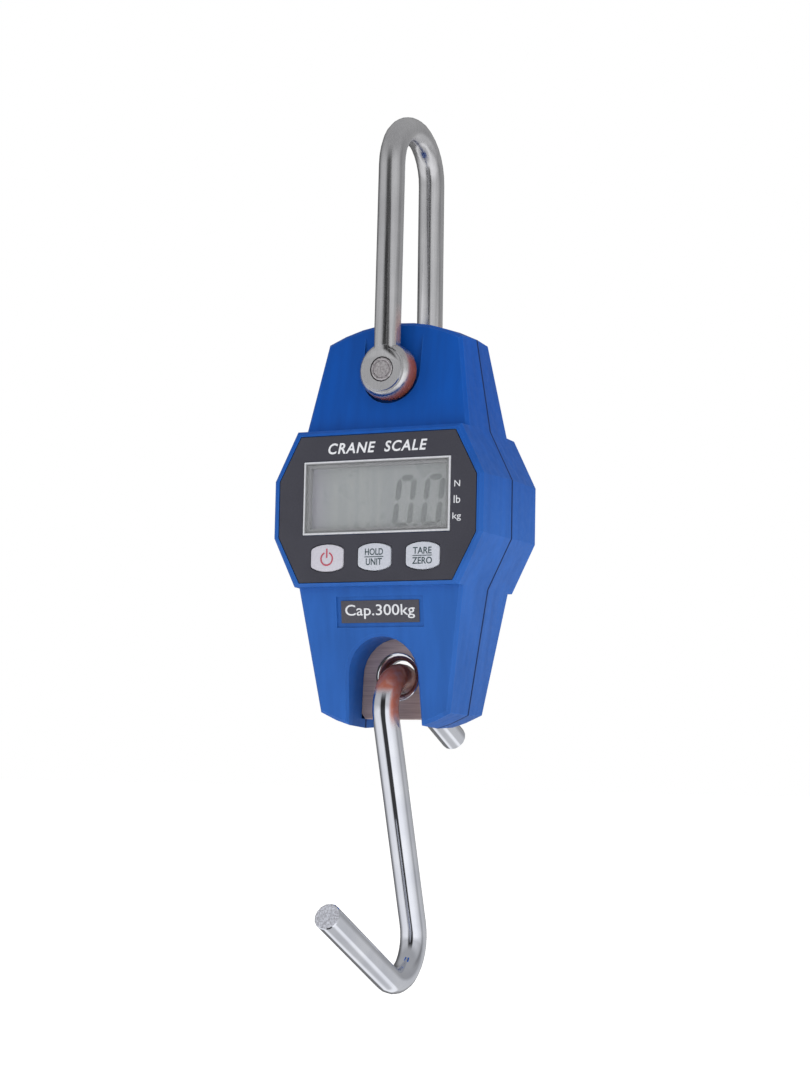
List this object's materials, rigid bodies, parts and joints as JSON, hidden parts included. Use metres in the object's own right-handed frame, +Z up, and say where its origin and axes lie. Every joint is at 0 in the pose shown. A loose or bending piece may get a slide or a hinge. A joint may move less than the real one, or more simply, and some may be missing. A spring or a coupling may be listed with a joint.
{
  "type": "crane scale",
  "caption": "Hanging digital crane scale: steel shackle on a cross pin, blue two-part housing with display and keys, and a chrome S-hook in an eyelet.",
  "frame": {"origin": "the point inside the shackle crown where a lifting hook bears", "axes": "+Z up along the hanging line, +X to the right seen from the display side, -Y out of the display"},
  "size_m": [0.0878, 0.1063, 0.3324],
  "materials": {
    "shackle_steel": "satin stainless bar",
    "zinc": "zinc plated",
    "blue_plastic": "fine moulded texture",
    "cell_steel": "machined plate",
    "chrome": "polished",
    "panel_black": "printed overlay, satin",
    "white_plastic": "smooth",
    "window_clear": "clear pane",
    "display_grey": "grey display glass",
    "rubber_black": "soft",
    "board_green": "solder mask",
    "black_plastic": "moulded",
    "key_grey": "smooth key cap",
    "gauge_foil": "foil",
    "battery_wrap": "plain wrapper"
  },
  "bodies": {
    "shackle": {"shackle": "shackle_steel", "load_pin": "shackle_steel"},
    "housing": {"pin_sleeve_front": "zinc", "pin_sleeve_rear": "zinc", "front_shell": "blue_plastic", "rear_shell": "blue_plastic", "load_cell": "cell_steel", "front_panel": "panel_black", "capacity_label": "panel_black", "window_frame": "white_plastic", "display_backlight": "white_plastic", "display_window": "window_clear", "display_glass": "display_grey", "contact_strip_upper": "rubber_black", "contact_strip_lower": "rubber_black", "gauge_cable": "rubber_black", "battery_leads": "rubber_black", "main_board": "board_green", "controller_chip": "black_plastic", "amplifier_chip": "black_plastic", "buzzer": "black_plastic", "power_switch": "black_plastic", "hold_switch": "black_plastic", "tare_switch": "black_plastic", "battery_tray": "black_plastic", "strain_gauge_left": "gauge_foil", "strain_gauge_right": "gauge_foil", "battery_1": "battery_wrap", "battery_spring_1": "zinc", "battery_contact_1": "zinc", "battery_2": "battery_wrap", "battery_spring_2": "zinc", "battery_contact_2": "zinc", "battery_3": "battery_wrap", "battery_spring_3": "zinc", "battery_contact_3": "zinc", "case_screw_1": "zinc", "case_screw_2": "zinc", "case_screw_3": "zinc", "case_screw_4": "zinc", "case_screw_5": "zinc", "case_screw_6": "zinc", "board_screw_1": "zinc", "board_screw_2": "zinc", "board_screw_3": "zinc", "board_screw_4": "zinc", "cell_screw_1": "zinc", "cell_screw_2": "zinc"},
    "hook_eye": {"hook_eye": "chrome"},
    "hook": {"s_hook": "chrome"},
    "power_button": {"power_button": "key_grey"},
    "hold_button": {"hold_button": "key_grey"},
    "tare_button": {"tare_button": "key_grey"},
    "battery_door": {"battery_door": "blue_plastic"}
  },
  "joints": [
    {"name": "shackle_swing", "type": "hinge", "parent": "shackle", "child": "housing", "pos_m": [0, 0, -0.0916], "axis": [0, 1, 0], "range_deg": [-40, 40]},
    {"name": "eyelet_turn", "type": "hinge", "parent": "housing", "child": "hook_eye", "pos_m": [0, 0, -0.2053], "axis": [0, 1, 0], "range_deg": [-15, 15]},
    {"name": "hook_swing", "type": "hinge", "parent": "hook_eye", "child": "hook", "pos_m": [0, -0.0017, -0.2169], "axis": [1, 0, 0], "range_deg": [-20, 20]},
    {"name": "power_button_press", "type": "slide", "parent": "housing", "child": "power_button", "axis": [0, 1, 0], "range_m": [0, 0.0005], "stiffness_N_per_m": 400},
    {"name": "hold_button_press", "type": "slide", "parent": "housing", "child": "hold_button", "axis": [0, 1, 0], "range_m": [0, 0.0005], "stiffness_N_per_m": 400},
    {"name": "tare_button_press", "type": "slide", "parent": "housing", "child": "tare_button", "axis": [0, 1, 0], "range_m": [0, 0.0005], "stiffness_N_per_m": 400},
    {"name": "battery_door_hinge", "type": "hinge", "parent": "housing", "child": "battery_door", "pos_m": [0, 0.02375, -0.1254], "axis": [1, 0, 0], "range_deg": [0, 80]}
  ]
}
